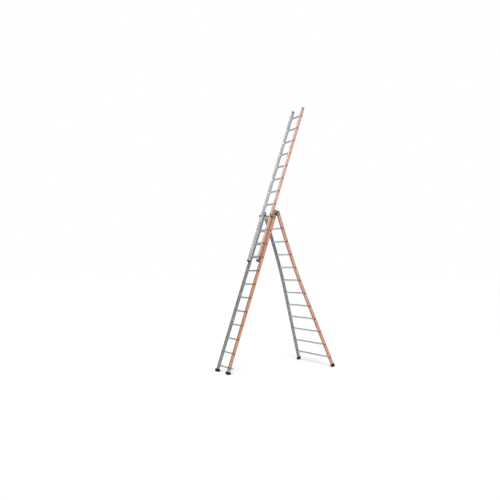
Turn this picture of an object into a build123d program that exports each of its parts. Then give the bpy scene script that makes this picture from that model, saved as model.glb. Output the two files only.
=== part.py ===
from build123d import *
import os
from math import atan2, cos, degrees, radians, sin, sqrt

# Three-section combination ladder, standing as an A-frame with its top section run out.
# The front section leans towards +X, the rear section leans back towards -X, and they meet in a
# hinge near the top. The top section lies in front of the front section and nests between its
# stiles. X runs from the front feet to the rear feet, Y runs along the rungs, Z is up.
# Every section is drawn in its own frame first: X is its rear normal, Y runs along its rungs
# and Z runs up its stiles. The left side is +Y and the right side is -Y.
# All lengths are in millimetres, all angles in degrees.

# Rungs, the same on the three sections
RUNG_PITCH = 280.0
RUNG_COUNT = 12
RUNG_SIZE = 28.0
RUNG_WALL = 2.4
RUNG_CORNER = 4.0
RIB_GROOVE = 1.6
RIB_GROOVE_DEPTH = 0.8
RIB_SPACING = 4.0
RIB_GROOVES_PER_FACE = 5
BEAD_SIZE = 32.0
BEAD_THICK = 2.5

# Stiles, a hollow aluminium section with a coloured strip let into its outer web
STILE_DEPTH = 67.0
STILE_THICK = 25.0
STILE_WALL = 2.5
STILE_CORNER = 3.0
STRIP_WIDTH = 45.0
STRIP_THICK = 0.8
STRIP_END_GAP = 45.0

# Outer widths over the stiles, 70 mm apart so that each section nests in the next
TOP_WIDTH = 360.0
FRONT_WIDTH = 430.0
REAR_WIDTH = 500.0

# Leans from the vertical, and spacing of the sections
FRONT_LEAN = 19.45
REAR_LEAN = 20.24
FEET_SPREAD = 2298.0
TOP_OFFSET = 56.0
REAR_OFFSET = 52.0

# Stile lengths, given from the nearest rung
FRONT_FIRST_RUNG = 136.0
REAR_FIRST_RUNG = 215.0
FRONT_TOP_PAST_RUNG = 158.0
REAR_TOP_PAST_RUNG = 72.0
TOP_TOP_PAST_RUNG = 185.0
TOP_END_BELOW_RUNG = 78.0
TOP_ENGAGED_RUNG = 9

# Flare of the rear section: straight, then a long bend, then a straight splay
CUT_OVERRUN = 5.0
BEND_RADIUS = 7900.0
BEND_START_HEIGHT = 2807.0
SPLAY_ANGLE = 8.75

# Feet
FRONT_SHOE = (105.0, 34.0, 54.0)
REAR_SHOE = (88.0, 35.0, 60.0)
SHOE_SOLE = 18.0
SHOE_CORNER = 5.0
SHOE_TOP_EDGE = 3.0
SHOE_GROOVE = (5.0, 3.0)
FRONT_SOLE_HEIGHT = 8.0
REAR_SOLE_HEIGHT = 6.8

# Hinge between the front and the rear section
HINGE_PIN_RADIUS = 6.0
HINGE_RUNNING_GAP = 0.05
HINGE_PLATE_THICK = 4.0
HINGE_PLATE_BACK = 30.0
HINGE_BOSS_RADIUS = 18.0
HINGE_WASHER_RADIUS = 10.0
HINGE_HEAD_RADIUS = 9.5
HINGE_HEAD_THICK = 6.0
HINGE_HEAD_EDGE = 2.0
HINGE_NUT_THICK = 7.0
HINGE_SIDE_GAP = 0.3
STOP_PIN_RADIUS = 5.0
STOP_PIN_REACH = 40.0
STOP_GAP = 0.3

# Hooks and latches at the lower ends of the sliding sections
HOOK_THICK = 6.0
HOOK_PLAY = 0.4
HOOK_BACK = -28.0
HOOK_FOOT_FRONT = 33.0
HOOK_NECK_BACK = 18.0
HOOK_FOOT_TOP = -20.0
HOOK_BAR = 20.0
HOOK_FINGER = 10.0
HOOK_FINGER_END = -12.0
HOOK_CORNER = 4.0
TOP_HOOK_FOOT = 44.0
FRONT_HOOK_FOOT = 30.0
HOOK_BORE = 3.05
LATCH_PIVOT = (26.0, -24.0)
LATCH_TIP = (67.0, -22.0)
LATCH_TAB = (8.0, -47.0)
LATCH_WIDTH = 9.0
LATCH_THICK = 2.4
LATCH_GAP = 0.4
LATCH_PIN_RADIUS = 3.0
LATCH_PIN_DEPTH = 17.0
LATCH_STOP = (16.8, -47.25)
LATCH_STOP_RADIUS = 2.5
LATCH_STOP_PROUD = 3.0
FRONT_HOOK_DROP = 14.0

# Guide brackets that hold the top section against the front section
GUIDE_THICK = 3.5
GUIDE_HEIGHT = 42.0
GUIDE_ABOVE_RUNG = 36.0
GUIDE_CLEARANCE = 1.5
GUIDE_REACH = 22.0
GUIDE_TAIL = 24.0
GUIDE_PAD = (28.0, 30.0)
GUIDE_PAD_BEHIND_LEG = 17.0
GUIDE_PAD_GAP = 2.2
GUIDE_PAD_SHANK = 5.0
GUIDE_PAD_HEAD = 10.5
GUIDE_PAD_HEAD_THICK = 3.0

# Rivets and end plugs
RIVET_RADIUS = 2.4
RIVET_HEAD_RADIUS = 5.0
RIVET_HEAD_THICK = 1.4
RIVET_HEAD_EDGE = 0.84
RIVET_BLIND_END = 2.0
PLUG_THICK = 4.0
PLUG_DEPTH = 18.0
LOWER_CAP_THICK = 32.0
BUTTON_PLUG_DEPTH = 52.0
PLUG_PLAY = 0.3
PLUG_EDGE = 1.2
RUNG_PLUG_SIZE = 27.0
RUNG_PLUG_PROUD = 1.2
RUNG_PLUG_DEPTH = 12.0
BUTTON_RADIUS = 15.0
BUTTON_BELOW_END = 34.0
BUTTON_FORWARD = 6.0
BUTTON_PROUD = 1.0
SPRING_WIRE = 0.6
SPRING_RADIUS = 4.2
SPRING_TURNS = 6
SPRING_LENGTH = 12.0
SPRING_DEPTH = 16.0

SIDES = {"left": 1, "right": -1}
TOP_RUNG_RISE = (RUNG_COUNT - 1) * RUNG_PITCH
FRONT_TOP_RUNG = FRONT_FIRST_RUNG + TOP_RUNG_RISE
REAR_TOP_RUNG = REAR_FIRST_RUNG + TOP_RUNG_RISE
FRONT_STILE_TOP = FRONT_TOP_RUNG + FRONT_TOP_PAST_RUNG
REAR_STILE_TOP = REAR_TOP_RUNG + REAR_TOP_PAST_RUNG
TOP_STILE_TOP = TOP_RUNG_RISE + TOP_TOP_PAST_RUNG

# Places of the sections. The floor is Z = 0.
FRONT_PLACE = Rot(0, FRONT_LEAN, 0)
REAR_PLACE = Pos(FEET_SPREAD, 0, 0) * Rot(0, -REAR_LEAN, 0)
TOP_RISE = FRONT_FIRST_RUNG + (TOP_ENGAGED_RUNG - 1) * RUNG_PITCH
TOP_PLACE = FRONT_PLACE * Pos(-TOP_OFFSET, 0, TOP_RISE)

# Lower ends of the hollow stiles, above the soles of their shoes
FRONT_STILE_FOOT = FRONT_SOLE_HEIGHT / cos(radians(FRONT_LEAN)) + SHOE_SOLE
REAR_SOLE_ALONG = REAR_SOLE_HEIGHT / cos(radians(REAR_LEAN))
REAR_STILE_FOOT = REAR_SOLE_ALONG + SHOE_SOLE * cos(radians(SPLAY_ANGLE))


def hinge_heights():
    """Heights of the hinge axis along the front and the rear stiles.

    The axis crosses the middle of the front stile, and lies REAR_OFFSET in front of the middle
    of the rear stile, so that the folded sections lie parallel and REAR_OFFSET apart."""
    lean_f = radians(FRONT_LEAN)
    lean_r = radians(REAR_LEAN)
    ratio = cos(lean_f) / cos(lean_r)
    lift = REAR_OFFSET * sin(lean_r) / cos(lean_r)
    reach = FEET_SPREAD - REAR_OFFSET * cos(lean_r) - lift * sin(lean_r)
    front = reach / (sin(lean_f) + ratio * sin(lean_r))
    return front, ratio * front + lift


HINGE_ON_FRONT, HINGE_ON_REAR = hinge_heights()


def block(x0, x1, y0, y1, z0, z1):
    """Box between two corners."""
    centre = ((x0 + x1) / 2, (y0 + y1) / 2, (z0 + z1) / 2)
    return Pos(*centre) * Box(abs(x1 - x0), abs(y1 - y0), abs(z1 - z0))


def bolt_shape(x, z, y0, y1, radius):
    """Round bar along Y between y0 and y1."""
    return Pos(x, (y0 + y1) / 2, z) * Rot(90, 0, 0) * Cylinder(radius, abs(y1 - y0))


def bar_shape(start, end, width, y0, y1):
    """Flat bar with round ends, lying in the plane of the stile's side, from y0 to y1."""
    run = (end[0] - start[0], end[1] - start[1])
    length = sqrt(run[0] ** 2 + run[1] ** 2)
    turn = degrees(atan2(run[1], run[0]))
    flat = SlotCenterToCenter(length, width)
    bar = extrude(flat, amount=abs(y1 - y0) / 2, both=True)
    middle = ((start[0] + end[0]) / 2, (y0 + y1) / 2, (start[1] + end[1]) / 2)
    return Pos(*middle) * Rot(0, -turn, 0) * Rot(90, 0, 0) * bar


def rung_profile():
    """Square rung section with fine ribs along its tread and its underside."""
    outer = RectangleRounded(RUNG_SIZE, RUNG_SIZE, RUNG_CORNER)
    bore = RUNG_SIZE - 2 * RUNG_WALL
    profile = outer - RectangleRounded(bore, bore, RUNG_CORNER - 1.5)
    for i in range(RIB_GROOVES_PER_FACE):
        across = (i - (RIB_GROOVES_PER_FACE - 1) / 2) * RIB_SPACING
        for face in (1, -1):
            rise = face * (RUNG_SIZE - RIB_GROOVE_DEPTH) / 2
            profile -= Pos(across, rise) * Rectangle(RIB_GROOVE, RIB_GROOVE_DEPTH)
    return profile


def along_y(profile, length):
    """A section drawn in X and Z, drawn out along Y about the origin."""
    return Rot(90, 0, 0) * extrude(profile, amount=length / 2, both=True)


def straight_rung(width, height):
    """Rung of a parallel section, let through both stiles, with a bead against each stile."""
    bar = along_y(rung_profile(), width)
    collar_face = RectangleRounded(BEAD_SIZE, BEAD_SIZE, RUNG_CORNER + 1)
    collar_face -= RectangleRounded(RUNG_SIZE, RUNG_SIZE, RUNG_CORNER)
    collar = along_y(collar_face, BEAD_THICK)
    bead_at = width / 2 - STILE_THICK - BEAD_THICK / 2
    for side in SIDES.values():
        bar += Pos(0, side * bead_at, 0) * collar
    return Pos(0, 0, height) * bar


def rung_plug(height, outer_band, inner_band):
    """Dark plug in a rung's open end: a thin flange on the web and a shank in the bore."""
    span = 2 * splay_end(0)[0] + 100
    flange = along_y(RectangleRounded(RUNG_PLUG_SIZE, RUNG_PLUG_SIZE, RUNG_CORNER), span)
    bore = RUNG_SIZE - 2 * RUNG_WALL - 2 * PLUG_PLAY
    shank = along_y(RectangleRounded(bore, bore, RUNG_CORNER - 2), span)
    place = Pos(0, 0, height)
    return (place * flange & outer_band) + (place * shank & inner_band)


def straight_rung_plug(width, height, side):
    """Plug in a rung end of a parallel section."""
    face = side * width / 2
    half = STILE_DEPTH / 2
    low = height - half
    high = height + half
    outer_band = block(-half, half, face, face + side * RUNG_PLUG_PROUD, low, high)
    inner_band = block(-half, half, face - side * RUNG_PLUG_DEPTH, face, low, high)
    return rung_plug(height, outer_band, inner_band)


def rear_rung_plugs(side):
    """Plugs in the rung ends of the flared section, square to its outer face."""
    outer_band = flare_band(-RUNG_PLUG_PROUD, 0, STILE_DEPTH, side)
    inner_band = flare_band(0, RUNG_PLUG_DEPTH, STILE_DEPTH, side)
    return [rung_plug(height, outer_band, inner_band) for height in rear_rung_heights]


def rung_holes(width, heights):
    """Square bars that cut the rung holes of a section."""
    hole = along_y(RectangleRounded(RUNG_SIZE, RUNG_SIZE, RUNG_CORNER), width + 10)
    return [Pos(0, 0, height) * hole for height in heights]


def straight_stile(width, side, foot, top):
    """Stile of a parallel section: a closed box section with a shallow recess outside."""
    middle = side * (width - STILE_THICK) / 2
    recess_at = side * (width / 2 - STRIP_THICK / 2)
    inner = (STILE_DEPTH - 2 * STILE_WALL, STILE_THICK - 2 * STILE_WALL)
    profile = Pos(0, middle) * RectangleRounded(STILE_DEPTH, STILE_THICK, STILE_CORNER)
    profile -= Pos(0, middle) * Rectangle(*inner)
    profile -= Pos(0, recess_at) * Rectangle(STRIP_WIDTH, STRIP_THICK)
    return Pos(0, 0, foot) * extrude(profile, amount=top - foot)


def straight_strip(width, side, foot, top):
    """Coloured strip that fills the recess of a straight stile, flush with its flanges."""
    face = Pos(0, side * (width / 2 - STRIP_THICK / 2)) * Rectangle(STRIP_WIDTH, STRIP_THICK)
    return Pos(0, 0, foot) * extrude(face, amount=top - foot)


def flare_point(inset, angle):
    """Point on the bend, at an inset from the stile's outer face, at an angle round the bend."""
    radius = BEND_RADIUS + inset
    across = REAR_WIDTH / 2 + BEND_RADIUS - radius * cos(radians(angle))
    return across, BEND_START_HEIGHT - radius * sin(radians(angle))


def splay_length():
    """Length of the straight splayed leg, from the end of the bend to the stile's foot."""
    end = flare_point(STILE_THICK / 2, SPLAY_ANGLE)
    return (end[1] - REAR_STILE_FOOT) / cos(radians(SPLAY_ANGLE))


def splay_end(inset, past_end=0.0):
    """Foot end of the splayed leg at an inset from its outer face."""
    across, height = flare_point(inset, SPLAY_ANGLE)
    run = splay_length() + past_end
    return across + run * sin(radians(SPLAY_ANGLE)), height - run * cos(radians(SPLAY_ANGLE))


def flare_band(inset_0, inset_1, depth, side, top=REAR_STILE_TOP, past_end=0.0):
    """Solid between two insets from the outer face of a rear stile, all the way down."""
    x = -depth / 2
    lines = []
    ends = []
    for inset in (inset_0, inset_1):
        corners = [(REAR_WIDTH / 2 - inset, top)]
        corners += [flare_point(inset, angle) for angle in (0, SPLAY_ANGLE / 2, SPLAY_ANGLE)]
        corners.append(splay_end(inset, past_end))
        points = [(x, side * across, height) for across, height in corners]
        lines.append(Line(points[0], points[1]))
        lines.append(ThreePointArc(points[1], points[2], points[3]))
        lines.append(Line(points[3], points[4]))
        ends.append((points[0], points[4]))
    lines.append(Line(ends[0][0], ends[1][0]))
    lines.append(Line(ends[0][1], ends[1][1]))
    outline = Wire([line.edge() for line in lines])
    return extrude(Face(outline), amount=depth, dir=(1, 0, 0))


def rear_stile(side):
    """Bent stile of the rear section, the same box section as the straight stiles."""
    stile = flare_band(0, STILE_THICK, STILE_DEPTH, side)
    hollow_depth = STILE_DEPTH - 2 * STILE_WALL
    above = REAR_STILE_TOP + CUT_OVERRUN
    stile -= flare_band(STILE_WALL, STILE_THICK - STILE_WALL, hollow_depth, side, above, CUT_OVERRUN)
    stile -= flare_band(-1, STRIP_THICK, STRIP_WIDTH, side, above, CUT_OVERRUN)
    return stile


def rear_strip(side):
    """Coloured strip of a rear stile, from above the shoe to below the stile's top."""
    top = REAR_STILE_TOP - STRIP_END_GAP
    return flare_band(0, STRIP_THICK, STRIP_WIDTH, side, top=top, past_end=-STRIP_END_GAP)


def rear_rung(height):
    """Rung of the flared section, cut off flush with the outer faces of the two stiles."""
    span = 2 * splay_end(0)[0] + 100
    bar = along_y(rung_profile(), span)
    collar_face = RectangleRounded(BEAD_SIZE, BEAD_SIZE, RUNG_CORNER + 1)
    collar_face -= RectangleRounded(RUNG_SIZE, RUNG_SIZE, RUNG_CORNER)
    collar = Pos(0, 0, height) * along_y(collar_face, span)
    rung = Pos(0, 0, height) * bar
    for side in SIDES.values():
        rung -= flare_band(-span, 0, STILE_DEPTH, side, past_end=50)
    for side in SIDES.values():
        rung += collar & flare_band(STILE_THICK, STILE_THICK + BEAD_THICK, STILE_DEPTH, side)
    return rung


def shoe(size):
    """Moulded shoe on a stile's end: a socket for the stile, and a grooved sole below it."""
    depth, width, height = size
    body = Pos(0, 0, height / 2 - SHOE_SOLE) * Box(depth, width, height)
    body = fillet(body.edges().filter_by(Axis.Z), SHOE_CORNER)
    body = chamfer(body.faces().sort_by(Axis.Z)[-1].outer_wire().edges(), SHOE_TOP_EDGE)
    body -= block(-STILE_DEPTH / 2, STILE_DEPTH / 2, -STILE_THICK / 2, STILE_THICK / 2, 0, height)
    groove, groove_depth = SHOE_GROOVE
    for i in (-1, 0, 1):
        at = i * depth / 4
        roof = groove_depth - SHOE_SOLE
        body -= block(at - groove / 2, at + groove / 2, -width, width, -SHOE_SOLE, roof)
    return body


def on_floor(shape):
    """Shoe bevelled where it bears on the floor."""
    reach = FEET_SPREAD + REAR_WIDTH
    return shape - block(-reach, reach, -reach, reach, -FRONT_SHOE[0], 0)


def front_shoe(side):
    """Shoe of the front section, square to the leaning stile."""
    place = FRONT_PLACE * Pos(0, side * (FRONT_WIDTH - STILE_THICK) / 2, FRONT_STILE_FOOT)
    return on_floor(place * shoe(FRONT_SHOE))


def rear_shoe(side):
    """Shoe of the rear section, square to the splayed and leaning stile."""
    across, height = splay_end(STILE_THICK / 2)
    place = REAR_PLACE * Pos(0, side * across, height) * Rot(side * SPLAY_ANGLE, 0, 0)
    return on_floor(place * shoe(REAR_SHOE))


def end_plug(width, side, end, up, depth=PLUG_DEPTH, thick=PLUG_THICK):
    """Plastic plug in the open end of a straight stile: a cap outside and a shank inside."""
    middle = side * (width - STILE_THICK) / 2
    shank_depth = STILE_DEPTH - 2 * STILE_WALL - 2 * PLUG_PLAY
    shank_thick = STILE_THICK - 2 * STILE_WALL - 2 * PLUG_PLAY
    cap = extrude(RectangleRounded(STILE_DEPTH, STILE_THICK, STILE_CORNER), amount=thick)
    cap = Pos(0, middle) * cap
    cap = chamfer(cap.faces().sort_by(Axis.Z)[-1].outer_wire().edges(), PLUG_EDGE)
    shank = Pos(0, middle, -depth / 2) * Box(shank_depth, shank_thick, depth)
    plug = cap + shank
    if not up:
        plug = Rot(180, 0, 0) * Pos(0, -2 * middle, 0) * plug
    return Pos(0, 0, end) * plug


def button_plug(side):
    """Plug in the top section's upper end, held by round buttons that fill holes in both webs."""
    plug = end_plug(TOP_WIDTH, side, TOP_STILE_TOP, True, BUTTON_PLUG_DEPTH)
    height = TOP_STILE_TOP - BUTTON_BELOW_END
    outer = side * (TOP_WIDTH / 2 + BUTTON_PROUD)
    inner = side * (TOP_WIDTH / 2 - STILE_THICK - BUTTON_PROUD)
    return plug + bolt_shape(-BUTTON_FORWARD, height, inner, outer, BUTTON_RADIUS)


def button_hole(side):
    """Hole through both webs of the top stile for the plug's buttons."""
    height = TOP_STILE_TOP - BUTTON_BELOW_END
    reach = side * TOP_WIDTH
    return bolt_shape(-BUTTON_FORWARD, height, 0, reach, BUTTON_RADIUS)


def rivet(x, z, face, side, grip):
    """Blind rivet: a low domed head on the face and a shank through the grip."""
    head = bolt_shape(x, z, face, face + side * RIVET_HEAD_THICK, RIVET_HEAD_RADIUS)
    rim = head.faces().sort_by(Axis.Y)[0 if side < 0 else -1].outer_wire().edges()
    head = chamfer(rim, RIVET_HEAD_EDGE)
    blind_end = face - side * (grip + RIVET_BLIND_END)
    return head + bolt_shape(x, z, face, blind_end, RIVET_RADIUS)


def rivets_through(places, web, plate, side):
    """Rivets through a plate that lies on a stile's web, their heads outside the plate."""
    face = side * (web + plate)
    return [rivet(x, z, face, side, plate + STILE_WALL) for x, z in places]


def rivet_holes(places, web, plate, side):
    """Holes that the rivets' shanks fill, in the plate and in the web."""
    outer = side * (web + plate + 1)
    inner = side * (web - STILE_WALL - RIVET_BLIND_END)
    return [bolt_shape(x, z, outer, inner, RIVET_RADIUS) for x, z in places]


def hook_plate(side, face, foot_length):
    """Hook that hangs a section on a rung of the next one. Its mouth opens downwards.

    It is drawn about the middle of the rung that stands beside it, with the held rung
    TOP_OFFSET behind."""
    half = RUNG_SIZE / 2 + HOOK_PLAY
    y0 = face
    y1 = face + side * HOOK_THICK
    finger = TOP_OFFSET + half
    neck = TOP_OFFSET - half
    foot_end = HOOK_FOOT_TOP - foot_length
    plate = block(HOOK_BACK, HOOK_FOOT_FRONT, y0, y1, foot_end, HOOK_FOOT_TOP)
    plate += block(HOOK_NECK_BACK, neck, y0, y1, HOOK_FOOT_TOP, half)
    plate += block(HOOK_NECK_BACK, finger + HOOK_FINGER, y0, y1, half, half + HOOK_BAR)
    plate += block(finger, finger + HOOK_FINGER, y0, y1, HOOK_FINGER_END, half)
    corners = plate.edges().filter_by(Axis.Y)
    outside = corners.filter_by(lambda e: e.center().Z > half + 1 or e.center().Z < -half)
    return fillet(outside, HOOK_CORNER)


def latch(side, face):
    """Safety latch: an arm that closes the hook's mouth, a thumb tab and a fixed pivot pin."""
    y0 = face + side * LATCH_GAP
    y1 = y0 + side * LATCH_THICK
    body = bar_shape(LATCH_PIVOT, LATCH_TIP, LATCH_WIDTH - 1, y0, y1)
    body += bar_shape(LATCH_PIVOT, LATCH_TAB, LATCH_WIDTH, y0, y1)
    inner_end = side * (TOP_WIDTH / 2 - LATCH_PIN_DEPTH)
    body += bolt_shape(*LATCH_PIVOT, inner_end, y1, LATCH_PIN_RADIUS)
    return body


def latch_spring(side):
    """Torsion spring wound round the latch's pin, inside the hollow stile."""
    start = side * (TOP_WIDTH / 2 - SPRING_DEPTH)
    path = Helix(SPRING_LENGTH / SPRING_TURNS, SPRING_LENGTH, SPRING_RADIUS)
    section = (path ^ 0) * Circle(SPRING_WIRE)
    coil = sweep(section, path=path)
    return Pos(LATCH_PIVOT[0], start, LATCH_PIVOT[1]) * Rot(-90 * side, 0, 0) * coil


def hinge_plate(side):
    """Plate riveted to the inside of a rear stile, with the bore that turns on the hinge pin."""
    y1 = side * (REAR_WIDTH / 2 - STILE_THICK)
    y0 = y1 - side * HINGE_PLATE_THICK
    low = HINGE_ON_REAR - HINGE_BOSS_RADIUS
    high = HINGE_ON_REAR + HINGE_BOSS_RADIUS
    plate = block(-REAR_OFFSET, HINGE_PLATE_BACK, y0, y1, low, high)
    plate += bolt_shape(-REAR_OFFSET, HINGE_ON_REAR, y0, y1, HINGE_BOSS_RADIUS)
    bore = HINGE_PIN_RADIUS + HINGE_RUNNING_GAP
    return plate - bolt_shape(-REAR_OFFSET, HINGE_ON_REAR, y0 - side, y1 + side, bore)


def hinge_bolt(side):
    """Hinge pin with a round head outside the rear section's plate."""
    plate_out = REAR_WIDTH / 2 - STILE_THICK
    head_in = plate_out + HINGE_SIDE_GAP
    nut_in = FRONT_WIDTH / 2 - STILE_THICK - HINGE_NUT_THICK - 1
    pin = bolt_shape(0, HINGE_ON_FRONT, side * nut_in, side * head_in, HINGE_PIN_RADIUS)
    head_out = head_in + HINGE_HEAD_THICK
    head = bolt_shape(0, HINGE_ON_FRONT, side * head_in, side * head_out, HINGE_HEAD_RADIUS)
    rim = head.faces().sort_by(Axis.Y)[0 if side < 0 else -1].outer_wire().edges()
    return pin + fillet(rim, HINGE_HEAD_EDGE)


def hinge_nut(side):
    """Hexagon nut that draws the hinge pin against the inner web."""
    y0 = FRONT_WIDTH / 2 - STILE_THICK - HINGE_NUT_THICK
    nut = along_y(RegularPolygon(HINGE_HEAD_RADIUS, 6), HINGE_NUT_THICK)
    nut = Pos(0, side * (y0 + HINGE_NUT_THICK / 2), HINGE_ON_FRONT) * nut
    return nut - bolt_shape(0, HINGE_ON_FRONT, 0, side * FRONT_WIDTH, HINGE_PIN_RADIUS)


def hinge_washer(side):
    """Plastic spacer between the front stile and the rear section's plate."""
    y0 = side * FRONT_WIDTH / 2
    y1 = side * (REAR_WIDTH / 2 - STILE_THICK - HINGE_PLATE_THICK - HINGE_SIDE_GAP)
    ring = bolt_shape(0, HINGE_ON_FRONT, y0, y1, HINGE_WASHER_RADIUS)
    return ring - bolt_shape(0, HINGE_ON_FRONT, 0, side * FRONT_WIDTH, HINGE_PIN_RADIUS)


def stop_pin_place():
    """Middle of the pin that the hinge plate bears on when the ladder stands open."""
    opening = radians(FRONT_LEAN + REAR_LEAN)
    off = HINGE_BOSS_RADIUS + STOP_PIN_RADIUS + STOP_GAP
    x = STOP_PIN_REACH * cos(opening) - off * sin(opening)
    z = STOP_PIN_REACH * sin(opening) + off * cos(opening)
    return x, HINGE_ON_FRONT + z


def stop_pin(side):
    """Opening stop, set into the outer web of the front stile above the hinge."""
    x, z = stop_pin_place()
    y0 = side * (FRONT_WIDTH / 2 - STILE_WALL)
    y1 = side * (REAR_WIDTH / 2 - STILE_THICK - 0.5)
    return bolt_shape(x, z, y0, y1, STOP_PIN_RADIUS)


def guide_bracket(side):
    """Angle bracket on the front stile that reaches round the front of the top section."""
    face = side * FRONT_WIDTH / 2
    out = face + side * GUIDE_THICK
    front = -TOP_OFFSET - STILE_DEPTH / 2 - GUIDE_CLEARANCE
    low = FRONT_TOP_RUNG + GUIDE_ABOVE_RUNG - GUIDE_HEIGHT / 2
    high = low + GUIDE_HEIGHT
    inner = side * (TOP_WIDTH / 2 - GUIDE_REACH)
    web = block(front - GUIDE_THICK, GUIDE_TAIL, face, out, low, high)
    leg = block(front - GUIDE_THICK, front, inner, out, low, high)
    bracket = web + leg
    outer_corner = bracket.edges().filter_by(Axis.Z).sort_by(Axis.X)
    corner = outer_corner.filter_by(lambda e: abs(e.center().Y - out) < 0.01)[0]
    return fillet(corner, GUIDE_THICK - 0.2)


def guide_pad_place():
    """Middle of the slide pad, behind the bracket's leg."""
    leg = -TOP_OFFSET - STILE_DEPTH / 2 - GUIDE_CLEARANCE
    return leg + GUIDE_PAD_BEHIND_LEG, FRONT_TOP_RUNG + GUIDE_ABOVE_RUNG


def guide_pad(side):
    """Plastic pad inside the guide bracket, beside the top section, with its button outside."""
    x, z = guide_pad_place()
    inner = side * (TOP_WIDTH / 2 + GUIDE_PAD_GAP)
    face = side * FRONT_WIDTH / 2
    out = face + side * GUIDE_THICK
    wide, tall = GUIDE_PAD
    pad = block(x - wide / 2, x + wide / 2, inner, face, z - tall / 2, z + tall / 2)
    pad += bolt_shape(x, z, face, out, GUIDE_PAD_SHANK)
    head = bolt_shape(x, z, out, out + side * GUIDE_PAD_HEAD_THICK, GUIDE_PAD_HEAD)
    rim = head.faces().sort_by(Axis.Y)[0 if side < 0 else -1].outer_wire().edges()
    return pad + fillet(rim, PLUG_EDGE)


def guide_pad_hole(side):
    """Hole in the guide bracket for the pad's button."""
    x, z = guide_pad_place()
    return bolt_shape(x, z, side * TOP_WIDTH / 2, side * REAR_WIDTH / 2, GUIDE_PAD_SHANK)


def write(name, shape, place):
    """Moves a shape from its section's frame to the ladder's frame and writes its STEP file."""
    export_step(centre * place * shape, "parts/" + name + ".step")


def write_group(name, shapes, place):
    """Writes like pieces as one node of separate solids."""
    placed = [centre * place * shape for shape in shapes]
    solids = [solid for shape in placed for solid in shape.solids()]
    export_step(Compound(children=solids), "parts/" + name + ".step")


os.makedirs("parts", exist_ok=True)
WORLD = Pos(0, 0, 0)

# The origin is on the floor, midway between the front and the rear feet.
front_shoes = {name: front_shoe(side) for name, side in SIDES.items()}
rear_shoes = {name: rear_shoe(side) for name, side in SIDES.items()}
first_x = front_shoes["left"].bounding_box().min.X
last_x = rear_shoes["left"].bounding_box().max.X
centre = Pos(-(first_x + last_x) / 2, 0, 0)
print("floor origin shift", (first_x + last_x) / 2)
print("hinge heights", HINGE_ON_FRONT, HINGE_ON_REAR)

# Fastener places in each section's frame, as (rearwards, along the stile)
front_hook_rise = FRONT_FIRST_RUNG - FRONT_HOOK_DROP
top_hook_rivets = [(-16, -34), (-16, -56), (2, -57)]
front_hook_rivets = [(-16, front_hook_rise - 36), (10, front_hook_rise - 36)]
guide_middle = FRONT_TOP_RUNG + GUIDE_ABOVE_RUNG
guide_rivet_places = [(-14, guide_middle - 8), (14, guide_middle - 8)]
hinge_rivets = [(-16, HINGE_ON_REAR), (14, HINGE_ON_REAR)]

front_rung_heights = [FRONT_FIRST_RUNG + i * RUNG_PITCH for i in range(RUNG_COUNT)]
rear_rung_heights = [REAR_FIRST_RUNG + i * RUNG_PITCH for i in range(RUNG_COUNT)]
top_rung_heights = [i * RUNG_PITCH for i in range(RUNG_COUNT)]

front_face = FRONT_WIDTH / 2
top_face = TOP_WIDTH / 2
rear_inner_face = REAR_WIDTH / 2 - STILE_THICK

# Front section, the middle one of the three in width
front_rivets = []
front_plugs = []
front_rung_plugs = []
for name, side in SIDES.items():
    holes = rung_holes(FRONT_WIDTH, front_rung_heights)
    holes.append(bolt_shape(0, HINGE_ON_FRONT, 0, side * FRONT_WIDTH, HINGE_PIN_RADIUS))
    stop_x, stop_z = stop_pin_place()
    stop_in = side * (FRONT_WIDTH / 2 - STILE_WALL)
    holes.append(bolt_shape(stop_x, stop_z, stop_in, side * FRONT_WIDTH, STOP_PIN_RADIUS))
    hook = Pos(0, 0, front_hook_rise) * hook_plate(side, side * front_face, FRONT_HOOK_FOOT)
    guide = guide_bracket(side)
    hook_rivets = rivets_through(front_hook_rivets, front_face, HOOK_THICK, side)
    guide_rivets = rivets_through(guide_rivet_places, front_face, GUIDE_THICK, side)
    front_rivets += hook_rivets + guide_rivets
    hook_rivet_holes = rivet_holes(front_hook_rivets, front_face, HOOK_THICK, side)
    guide_rivet_holes = rivet_holes(guide_rivet_places, front_face, GUIDE_THICK, side)
    hook -= hook_rivet_holes
    guide -= guide_rivet_holes
    guide -= guide_pad_hole(side)
    holes += hook_rivet_holes + guide_rivet_holes
    stile = straight_stile(FRONT_WIDTH, side, FRONT_STILE_FOOT, FRONT_STILE_TOP) - holes
    strip_foot = FRONT_STILE_FOOT + STRIP_END_GAP
    strip = straight_strip(FRONT_WIDTH, side, strip_foot, FRONT_STILE_TOP - PLUG_THICK) - holes
    write("front_stile_" + name, stile, FRONT_PLACE)
    write("front_strip_" + name, strip, FRONT_PLACE)
    write("front_hook_" + name, hook, FRONT_PLACE)
    write("guide_bracket_" + name, guide, FRONT_PLACE)
    write("hinge_bolt_" + name, hinge_bolt(side), FRONT_PLACE)
    write("front_shoe_" + name, front_shoes[name], WORLD)
    front_plugs.append(end_plug(FRONT_WIDTH, side, FRONT_STILE_TOP, True))
    front_rung_plugs += [straight_rung_plug(FRONT_WIDTH, z, side) for z in front_rung_heights]
write_group("front_rungs", [straight_rung(FRONT_WIDTH, z) for z in front_rung_heights], FRONT_PLACE)
write_group("front_rung_plugs", front_rung_plugs, FRONT_PLACE)
write_group("front_rivets", front_rivets, FRONT_PLACE)
write_group("front_end_plugs", front_plugs, FRONT_PLACE)
write_group("guide_pads", [guide_pad(side) for side in SIDES.values()], FRONT_PLACE)
write_group("hinge_nuts", [hinge_nut(side) for side in SIDES.values()], FRONT_PLACE)
write_group("hinge_washers", [hinge_washer(side) for side in SIDES.values()], FRONT_PLACE)
write_group("hinge_stop_pins", [stop_pin(side) for side in SIDES.values()], FRONT_PLACE)

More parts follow.
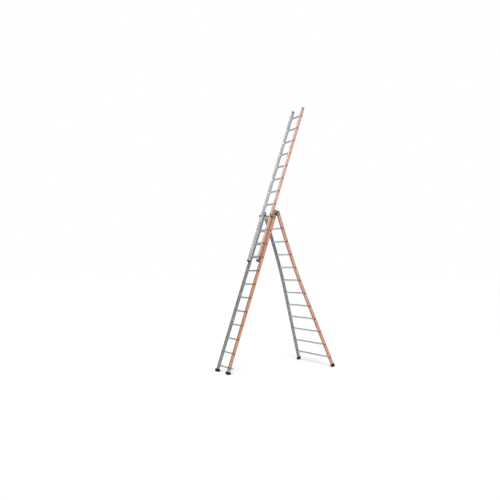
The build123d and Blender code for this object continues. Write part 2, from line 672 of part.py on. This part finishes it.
# Top section, the narrowest
top_rivets = []
top_caps = []
top_rung_plugs = []
for name, side in SIDES.items():
    holes = rung_holes(TOP_WIDTH, top_rung_heights)
    holes.append(button_hole(side))
    pivot_hole = bolt_shape(*LATCH_PIVOT, side * (top_face - 5), side * (top_face + 9), HOOK_BORE)
    holes.append(pivot_hole)
    hook = hook_plate(side, side * top_face, TOP_HOOK_FOOT)
    hook -= pivot_hole
    stop_y = (side * (top_face + HOOK_THICK), side * (top_face + HOOK_THICK + LATCH_STOP_PROUD))
    hook += bolt_shape(*LATCH_STOP, *stop_y, LATCH_STOP_RADIUS)
    hook_rivet_holes = rivet_holes(top_hook_rivets, top_face, HOOK_THICK, side)
    top_rivets += rivets_through(top_hook_rivets, top_face, HOOK_THICK, side)
    hook -= hook_rivet_holes
    holes += hook_rivet_holes
    stile = straight_stile(TOP_WIDTH, side, -TOP_END_BELOW_RUNG, TOP_STILE_TOP) - holes
    strip = straight_strip(TOP_WIDTH, side, -TOP_END_BELOW_RUNG, TOP_STILE_TOP) - holes
    write("top_stile_" + name, stile, TOP_PLACE)
    write("top_strip_" + name, strip, TOP_PLACE)
    write("top_hook_" + name, hook, TOP_PLACE)
    write("latch_" + name, latch(side, side * (top_face + HOOK_THICK)), TOP_PLACE)
    write("top_end_plug_" + name, button_plug(side), TOP_PLACE)
    top_caps.append(end_plug(TOP_WIDTH, side, -TOP_END_BELOW_RUNG, False, thick=LOWER_CAP_THICK))
    top_rung_plugs += [straight_rung_plug(TOP_WIDTH, z, side) for z in top_rung_heights]
write_group("top_rungs", [straight_rung(TOP_WIDTH, z) for z in top_rung_heights], TOP_PLACE)
write_group("top_rung_plugs", top_rung_plugs, TOP_PLACE)
write_group("top_rivets", top_rivets, TOP_PLACE)
write_group("top_lower_caps", top_caps, TOP_PLACE)
write_group("latch_springs", [latch_spring(side) for side in SIDES.values()], TOP_PLACE)

# Rear section, the widest, flared towards its feet
rear_rivets = []
rear_plugs = []
rear_plugs_of_rungs = []
for name, side in SIDES.items():
    span = 2 * splay_end(0)[0] + 100
    holes = rung_holes(span, rear_rung_heights)
    plate_rivet_holes = rivet_holes(hinge_rivets, -rear_inner_face, HINGE_PLATE_THICK, -side)
    rear_rivets += rivets_through(hinge_rivets, -rear_inner_face, HINGE_PLATE_THICK, -side)
    plate = hinge_plate(side) - plate_rivet_holes
    holes += plate_rivet_holes
    write("rear_stile_" + name, rear_stile(side) - holes, REAR_PLACE)
    write("rear_strip_" + name, rear_strip(side) - rung_holes(span, rear_rung_heights), REAR_PLACE)
    write("hinge_plate_" + name, plate, REAR_PLACE)
    write("rear_shoe_" + name, rear_shoes[name], WORLD)
    rear_plugs.append(end_plug(REAR_WIDTH, side, REAR_STILE_TOP, True))
    rear_plugs_of_rungs += rear_rung_plugs(side)
for i, height in enumerate(rear_rung_heights):
    write("rear_rung_" + str(i + 1), rear_rung(height), REAR_PLACE)
write_group("rear_rung_plugs", rear_plugs_of_rungs, REAR_PLACE)
write_group("rear_rivets", rear_rivets, REAR_PLACE)
write_group("rear_end_plugs", rear_plugs, REAR_PLACE)
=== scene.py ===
from math import radians

import bpy
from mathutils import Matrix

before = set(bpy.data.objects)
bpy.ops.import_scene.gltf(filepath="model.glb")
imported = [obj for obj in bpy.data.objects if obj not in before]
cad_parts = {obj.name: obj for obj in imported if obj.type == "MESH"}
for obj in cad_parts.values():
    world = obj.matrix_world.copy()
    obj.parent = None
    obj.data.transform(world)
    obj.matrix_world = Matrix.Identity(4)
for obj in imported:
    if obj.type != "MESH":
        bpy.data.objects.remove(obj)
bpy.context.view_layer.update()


# ---- Stiles ----
# The six stiles are box sections of 6060 aluminium, pushed hot through a die and left as they
# come: mill finish. The die draws fine lines along their whole length. The rungs are let through
# both webs of each and swaged there.
MM = 0.001
SIDES = ("left", "right")
# Each section leans its own way, and its die lines follow.
SECTION_LEAN = {"front": radians(19.45), "top": radians(19.45), "rear": radians(-20.24)}
# The real lines are under 1 mm wide: they are drawn 5 mm wide so that they show.
DIE_LINE_WIDTH = 5 * MM
DIE_LINE_LENGTH = 900 * MM
DIE_LINE_DEPTH = 0.2 * MM
HANDLING_MARK = 70 * MM
# Paler and deeper grey of each section's die lines. The sections share one aluminium, but each
# gets its own copy painted lighter or darker for the light that falls on it. The top section is
# painted much the palest, as painted light.
STILE_TONES_WITH_PAINTED_LIGHT = {
    "front": ("#aaa9a8", "#959699"),
    "top": ("#efeeed", "#dadbdd"),
    "rear": ("#a3a3a2", "#8f9093"),
}


def linear(code):
    """Linear RGBA of an sRGB hex colour."""
    channels = [int(code[i:i + 2], 16) / 255 for i in (1, 3, 5)]
    return [c / 12.92 if c <= 0.04045 else ((c + 0.055) / 1.055) ** 2.4 for c in channels] + [1.0]


def add(tree, kind, output, inputs=None, **settings):
    """Adds a node and gives back its named output. Inputs are values, or outputs to link."""
    made = tree.nodes.new("ShaderNode" + kind)
    for key, value in settings.items():
        setattr(made, key, value)
    for key, value in (inputs or {}).items():
        if isinstance(value, bpy.types.NodeSocket):
            tree.links.new(value, made.inputs[key])
        else:
            made.inputs[key].default_value = value
    return made.outputs[output] if output else None


def empty_material(name):
    """A new material with no nodes, and its tree."""
    made = bpy.data.materials.new(name)
    made.use_nodes = True
    made.node_tree.nodes.clear()
    return made, made.node_tree


def paint(material, *pieces):
    """Gives CAD pieces their material."""
    for piece in pieces:
        cad_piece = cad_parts[piece]
        for slot in cad_piece.material_slots:
            slot.material = material
        if not cad_piece.material_slots:
            cad_piece.data.materials.append(material)


def mill_finish_aluminium(name, lean, pale, deep):
    """Extruded aluminium: a soft grey metal with long die lines and faint handling marks."""
    material, tree = empty_material(name)
    place = add(tree, "TexCoord", "Object")
    upright = add(tree, "Mapping", "Vector", {"Vector": place, "Rotation": (0, -lean, 0)})
    stretch = (1 / DIE_LINE_WIDTH, 1 / DIE_LINE_WIDTH, 1 / DIE_LINE_LENGTH)
    along = add(tree, "VectorMath", "Vector", {0: upright, 1: stretch}, operation="MULTIPLY")
    lines = add(tree, "TexNoise", "Fac", {"Vector": along, "Scale": 1.0, "Detail": 3.0})
    marks = add(tree, "TexNoise", "Fac", {
        "Vector": upright, "Scale": 1 / HANDLING_MARK, "Detail": 5.0})
    line_share = add(tree, "MapRange", "Result", {
        "Value": lines, "From Min": 0.35, "From Max": 0.68})
    drawn = add(tree, "Mix", "Result", {
        "Factor": line_share, "A": linear(deep), "B": linear(pale)}, data_type="RGBA")
    mark_share = add(tree, "MapRange", "Result", {
        "Value": marks, "From Min": 0.3, "From Max": 0.7})
    handled = add(tree, "Mix", "Result", {
        "Factor": mark_share, "A": linear("#c9c9c9"), "B": linear("#ffffff")}, data_type="RGBA")
    tint = add(tree, "Mix", "Result", {
        "Factor": 0.6, "A": drawn, "B": handled}, data_type="RGBA", blend_type="MULTIPLY")
    roughness = add(tree, "MapRange", "Result", {"Value": marks, "To Min": 0.4, "To Max": 0.5})
    bump = add(tree, "Bump", "Normal", {
        "Height": lines, "Strength": 0.1, "Distance": DIE_LINE_DEPTH})
    metal = add(tree, "BsdfPrincipled", "BSDF", {
        "Base Color": tint, "Metallic": 1.0, "Roughness": roughness, "Normal": bump})
    add(tree, "OutputMaterial", None, {"Surface": metal})
    return material


# Each section's stiles get their own copy of the metal, with painted light in its greys.
for section, lean in SECTION_LEAN.items():
    painted_light_stile_metal = mill_finish_aluminium(
        "mill_aluminium_stile_painted_light_" + section, lean, *STILE_TONES_WITH_PAINTED_LIGHT[section])
    for side in SIDES:
        paint(painted_light_stile_metal, section + "_stile_" + side)


# ---- Rungs ----
# Each rung is a square tube of the same alloy, with fine ribs along its tread. It passes through
# both webs of the stiles, with a swaged bead inside, and a dark plug closes its end outside.
RUNGS_PER_SECTION = 12
# As on the stiles, the real lines are finer: they are drawn 4 mm wide so that they show.
RUNG_LINE_WIDTH = 4 * MM
RUNG_LINE_LENGTH = 300 * MM
RUNG_LINE_DEPTH = 0.2 * MM
TREAD_WEAR = 45 * MM

# Mill finish again, rubbed by feet: it shines here and is dull there, with lines along the rung.
rung_metal, tree = empty_material("mill_aluminium_rung")
place = add(tree, "TexCoord", "Object")
stretch = (1 / RUNG_LINE_WIDTH, 1 / RUNG_LINE_LENGTH, 1 / RUNG_LINE_WIDTH)
along = add(tree, "VectorMath", "Vector", {0: place, 1: stretch}, operation="MULTIPLY")
lines = add(tree, "TexNoise", "Fac", {"Vector": along, "Scale": 1.0, "Detail": 2.0})
wear = add(tree, "TexNoise", "Fac", {"Vector": place, "Scale": 1 / TREAD_WEAR, "Detail": 4.0})
line_share = add(tree, "MapRange", "Result", {"Value": lines, "From Min": 0.3, "From Max": 0.7})
drawn = add(tree, "Mix", "Result", {
    "Factor": line_share, "A": linear("#b2b4b6"), "B": linear("#d2d3d3")}, data_type="RGBA")
roughness = add(tree, "MapRange", "Result", {"Value": wear, "To Min": 0.32, "To Max": 0.55})
bump = add(tree, "Bump", "Normal", {
    "Height": lines, "Strength": 0.2, "Distance": RUNG_LINE_DEPTH})
metal = add(tree, "BsdfPrincipled", "BSDF", {
    "Base Color": drawn, "Metallic": 1.0, "Roughness": roughness, "Normal": bump})
add(tree, "OutputMaterial", None, {"Surface": metal})
paint(rung_metal, "front_rungs", "top_rungs")
for number in range(1, RUNGS_PER_SECTION + 1):
    paint(rung_metal, "rear_rung_%d" % number)


# ---- Coloured strips ----
# A band of orange PVC is pressed into the recess of each outer web, between the bare flanges. It
# is extruded too, with a satin skin, and gets faintly chalky and scuffed in use.
STREAK_WIDTH = 14 * MM
STREAK_LENGTH = 500 * MM
# The skin's own grain is well under 1 mm: it is drawn 3 mm coarse so that it shows.
SKIN_GRAIN = 3 * MM
SKIN_DEPTH = 0.1 * MM
# Deeper and paler orange of each section's strips. The sections share one PVC, but each gets its
# own copy painted lighter or darker for the light that falls on it. The top section's strips are
# painted the palest, as painted light.
STRIP_TONES_WITH_PAINTED_LIGHT = {
    "front": ("#c06d3c", "#d0875b"),
    "top": ("#bd8060", "#cb987c"),
    "rear": ("#c87b55", "#d6967a"),
}


def orange_pvc(name, lean, deep, pale):
    """Satin orange plastic, a little paler in long soft streaks where it has weathered."""
    material, tree = empty_material(name)
    place = add(tree, "TexCoord", "Object")
    upright = add(tree, "Mapping", "Vector", {"Vector": place, "Rotation": (0, -lean, 0)})
    stretch = (1 / STREAK_WIDTH, 1 / STREAK_WIDTH, 1 / STREAK_LENGTH)
    along = add(tree, "VectorMath", "Vector", {0: upright, 1: stretch}, operation="MULTIPLY")
    streaks = add(tree, "TexNoise", "Fac", {"Vector": along, "Scale": 1.0, "Detail": 4.0})
    grain = add(tree, "TexNoise", "Fac", {
        "Vector": place, "Scale": 1 / SKIN_GRAIN, "Detail": 3.0})
    fade = add(tree, "MapRange", "Result", {
        "Value": streaks, "From Min": 0.32, "From Max": 0.72})
    tone = add(tree, "Mix", "Result", {
        "Factor": fade, "A": linear(deep), "B": linear(pale)}, data_type="RGBA")
    roughness = add(tree, "MapRange", "Result", {
        "Value": streaks, "To Min": 0.36, "To Max": 0.55})
    bump = add(tree, "Bump", "Normal", {
        "Height": grain, "Strength": 0.15, "Distance": SKIN_DEPTH})
    plastic = add(tree, "BsdfPrincipled", "BSDF", {
        "Base Color": tone, "Roughness": roughness, "IOR": 1.53, "Normal": bump})
    add(tree, "OutputMaterial", None, {"Surface": plastic})
    return material


# Each section's strips get their own copy of the PVC, with painted light in its orange.
for section, lean in SECTION_LEAN.items():
    painted_light_strip_plastic = orange_pvc("orange_pvc_strip_painted_light_" + section, lean, *STRIP_TONES_WITH_PAINTED_LIGHT[section])
    for side in SIDES:
        paint(painted_light_strip_plastic, section + "_strip_" + side)


# ---- Shoes ----
# Thick shoes of black rubber are pressed over the stile ends, square to the stile, and bevelled
# level where they bear on the floor. They are moulded.
# The pits of the mould are under 1 mm wide: they are drawn at 2 mm so that they show.
RUBBER_PIT = 2 * MM
RUBBER_PIT_DEPTH = 0.3 * MM
FLOOR_DUST = 35 * MM

# Moulded rubber: dull, nearly black and finely pitted, a shade greyer where dust has settled.
shoe_rubber, tree = empty_material("black_moulded_rubber")
place = add(tree, "TexCoord", "Object")
pits = add(tree, "TexNoise", "Fac", {"Vector": place, "Scale": 1 / RUBBER_PIT, "Detail": 4.0})
dust = add(tree, "TexNoise", "Fac", {"Vector": place, "Scale": 1 / FLOOR_DUST, "Detail": 6.0})
dusty = add(tree, "MapRange", "Result", {"Value": dust, "From Min": 0.35, "From Max": 0.8})
tone = add(tree, "Mix", "Result", {
    "Factor": dusty, "A": linear("#020202"), "B": linear("#0c0b0b")}, data_type="RGBA")
roughness = add(tree, "MapRange", "Result", {"Value": dust, "To Min": 0.62, "To Max": 0.85})
bump = add(tree, "Bump", "Normal", {
    "Height": pits, "Strength": 0.5, "Distance": RUBBER_PIT_DEPTH})
rubber = add(tree, "BsdfPrincipled", "BSDF", {
    "Base Color": tone, "Roughness": roughness, "IOR": 1.52, "Normal": bump})
add(tree, "OutputMaterial", None, {"Surface": rubber})
for side in SIDES:
    paint(shoe_rubber, "front_shoe_" + side, "rear_shoe_" + side)


# ---- Plugs, latches and washers ----
# The open ends of the stiles and the rungs are closed by injection moulded plugs. The slide pads,
# the safety latches and the hinge spacers are moulded from the same black nylon.
# The grain of the mould is about 0.3 mm: it is drawn at 1.5 mm so that it shows.
MOULD_GRAIN = 1.5 * MM
MOULD_GRAIN_DEPTH = 0.15 * MM
MELT_FLOW = 25 * MM

# Moulded nylon: matt black with a fine grain, and paler, duller clouds where the melt flowed.
black_nylon, tree = empty_material("black_moulded_nylon")
place = add(tree, "TexCoord", "Object")
grain = add(tree, "TexNoise", "Fac", {"Vector": place, "Scale": 1 / MOULD_GRAIN, "Detail": 2.0})
flow = add(tree, "TexNoise", "Fac", {"Vector": place, "Scale": 1 / MELT_FLOW, "Detail": 3.0})
flow_share = add(tree, "MapRange", "Result", {"Value": flow, "From Min": 0.3, "From Max": 0.75})
tone = add(tree, "Mix", "Result", {
    "Factor": flow_share, "A": linear("#0a0a0b"), "B": linear("#161617")}, data_type="RGBA")
roughness = add(tree, "MapRange", "Result", {"Value": flow, "To Min": 0.42, "To Max": 0.6})
bump = add(tree, "Bump", "Normal", {
    "Height": grain, "Strength": 0.35, "Distance": MOULD_GRAIN_DEPTH})
nylon = add(tree, "BsdfPrincipled", "BSDF", {
    "Base Color": tone, "Roughness": roughness, "IOR": 1.53, "Normal": bump})
add(tree, "OutputMaterial", None, {"Surface": nylon})
for section in SECTION_LEAN:
    paint(black_nylon, section + "_rung_plugs")
paint(black_nylon, "front_end_plugs", "rear_end_plugs", "top_lower_caps")
paint(black_nylon, "guide_pads", "hinge_washers")
for side in SIDES:
    paint(black_nylon, "top_end_plug_" + side, "latch_" + side)


# ---- Hooks and guide brackets ----
# The hooks are blanked from 6 mm steel plate and the guide brackets are folded from 3.5 mm plate.
# All are zinc plated in a barrel, where they knock together, and then passivated.
PASSIVATE_CLOUD = 18 * MM
BARREL_DENT = 6 * MM
BARREL_DENT_DEPTH = 0.1 * MM

# Barrel zinc: a cool grey metal with a cloudy bloom, broken up by shallow dents.
zinc_steel, tree = empty_material("zinc_plated_steel")
place = add(tree, "TexCoord", "Object")
bloom = add(tree, "TexNoise", "Fac", {
    "Vector": place, "Scale": 1 / PASSIVATE_CLOUD, "Detail": 6.0})
dents = add(tree, "TexVoronoi", "Distance", {"Vector": place, "Scale": 1 / BARREL_DENT})
bloom_share = add(tree, "MapRange", "Result", {
    "Value": bloom, "From Min": 0.3, "From Max": 0.75})
tone = add(tree, "Mix", "Result", {
    "Factor": bloom_share, "A": linear("#8d9193"), "B": linear("#c3c5c4")}, data_type="RGBA")
roughness = add(tree, "MapRange", "Result", {"Value": bloom, "To Min": 0.3, "To Max": 0.5})
bump = add(tree, "Bump", "Normal", {
    "Height": dents, "Strength": 0.12, "Distance": BARREL_DENT_DEPTH})
metal = add(tree, "BsdfPrincipled", "BSDF", {
    "Base Color": tone, "Metallic": 1.0, "Roughness": roughness, "Normal": bump})
add(tree, "OutputMaterial", None, {"Surface": metal})
for side in SIDES:
    paint(zinc_steel, "front_hook_" + side, "top_hook_" + side, "guide_bracket_" + side)
paint(zinc_steel, "hinge_nuts")


# ---- Hinge plates, pins and stops ----
# The hinge plates are riveted to the rear stiles and turn on pins through the front stiles. Like
# the pins and the opening stops, they are steel with a black oxide finish, oiled.
OIL_PATCH = 22 * MM
# The tooth of the oxide is too fine to see: it is drawn at 1.2 mm so that it shows.
OXIDE_TOOTH = 1.2 * MM
OXIDE_TOOTH_DEPTH = 0.1 * MM

# Black oxide: near black, browner where the oil has dried, with a low metallic shine.
black_oxide, tree = empty_material("black_oxide_steel")
place = add(tree, "TexCoord", "Object")
oil = add(tree, "TexNoise", "Fac", {"Vector": place, "Scale": 1 / OIL_PATCH, "Detail": 5.0})
tooth = add(tree, "TexNoise", "Fac", {"Vector": place, "Scale": 1 / OXIDE_TOOTH, "Detail": 2.0})
dried = add(tree, "MapRange", "Result", {"Value": oil, "From Min": 0.3, "From Max": 0.78})
tone = add(tree, "Mix", "Result", {
    "Factor": dried, "A": linear("#1d1a18"), "B": linear("#3d332c")}, data_type="RGBA")
roughness = add(tree, "MapRange", "Result", {"Value": oil, "To Min": 0.38, "To Max": 0.6})
bump = add(tree, "Bump", "Normal", {
    "Height": tooth, "Strength": 0.3, "Distance": OXIDE_TOOTH_DEPTH})
oxide = add(tree, "BsdfPrincipled", "BSDF", {
    "Base Color": tone, "Metallic": 0.75, "Roughness": roughness, "Normal": bump})
add(tree, "OutputMaterial", None, {"Surface": oxide})
for side in SIDES:
    paint(black_oxide, "hinge_plate_" + side, "hinge_bolt_" + side)
paint(black_oxide, "hinge_stop_pins")


# ---- Rivets and springs ----
# Blind rivets of bright aluminium hold the plates to the hollow webs. The latch springs are wound
# from bright hard-drawn wire, which has much the same shine.
RIVET_SCUFF = 4 * MM

# Cold-headed aluminium: bright smooth domes, shinier than the stiles, with small duller scuffs.
rivet_metal, tree = empty_material("bright_rivet_aluminium")
place = add(tree, "TexCoord", "Object")
scuff = add(tree, "TexNoise", "Fac", {"Vector": place, "Scale": 1 / RIVET_SCUFF, "Detail": 4.0})
scuffed = add(tree, "MapRange", "Result", {"Value": scuff, "From Min": 0.3, "From Max": 0.7})
tone = add(tree, "Mix", "Result", {
    "Factor": scuffed, "A": linear("#bfc0c1"), "B": linear("#e6e6e6")}, data_type="RGBA")
roughness = add(tree, "MapRange", "Result", {"Value": scuff, "To Min": 0.2, "To Max": 0.38})
metal = add(tree, "BsdfPrincipled", "BSDF", {
    "Base Color": tone, "Metallic": 1.0, "Roughness": roughness})
add(tree, "OutputMaterial", None, {"Surface": metal})
paint(rivet_metal, "front_rivets", "top_rivets", "rear_rivets", "latch_springs")


# ---- Floor, light and camera ----
# A plain near-white floor that runs into a near-white backdrop, under an overcast kind of light:
# a broad soft sun from the front left, a lamp by the top and an even, dimmer glow from all round.
FLOOR_WIDTH = 400
bpy.ops.mesh.primitive_plane_add(size=FLOOR_WIDTH, location=(0, 0, 0))
floor = bpy.context.object
floor.name = "floor"
floor_paint, tree = empty_material("pale_studio_floor")
matt = add(tree, "BsdfPrincipled", "BSDF", {
    "Base Color": linear("#fbfbfb"), "Roughness": 1.0, "Specular IOR Level": 0.0})
add(tree, "OutputMaterial", None, {"Surface": matt})
floor.data.materials.append(floor_paint)

# The backdrop is as bright as the floor, but lights the ladder with less than half of that.
BACKDROP = 1.0
GLOW = 0.44
world = bpy.data.worlds.new("studio")
world.use_nodes = True
tree = world.node_tree
tree.nodes.clear()
seen = add(tree, "LightPath", "Is Camera Ray")
level = add(tree, "MapRange", "Result", {"Value": seen, "To Min": GLOW, "To Max": BACKDROP})
glow = add(tree, "Background", "Background", {"Color": linear("#ffffff"), "Strength": level})
add(tree, "OutputWorld", None, {"Surface": glow})
bpy.context.scene.world = world

sun = bpy.data.lights.new("soft sun", "SUN")
sun.energy = 2.4
sun.angle = radians(50)
sun_object = bpy.data.objects.new("soft sun", sun)
sun_object.rotation_euler = (radians(38), 0, radians(-50))
bpy.context.collection.objects.link(sun_object)

# A large lamp high up at the front, beside the run-out top section, keeps that section bright.
lamp = bpy.data.lights.new("upper lamp", "AREA")
lamp.energy = 140
lamp.size = 2.0
lamp_object = bpy.data.objects.new("upper lamp", lamp)
lamp_object.location = (-2.2, -3.0, 6.6)
lamp_object.rotation_euler = (radians(58), 0, radians(-34))
lamp_object.visible_camera = False
bpy.context.collection.objects.link(lamp_object)

# The camera stands 11.6 m from the ladder's middle, 2 m up, and looks down by half a degree.
camera_data = bpy.data.cameras.new("camera")
camera_data.lens = 40.98
camera_data.sensor_width = 36
camera_data.shift_y = 0.05
camera_data.clip_end = 200
camera = bpy.data.objects.new("camera", camera_data)
camera.location = (-6.5691, -9.5096, 2.0028)
camera.rotation_euler = (radians(90 - 0.561), 0, radians(-32.501))
bpy.context.collection.objects.link(camera)
bpy.context.scene.camera = camera
bpy.context.scene.view_settings.view_transform = "Standard"
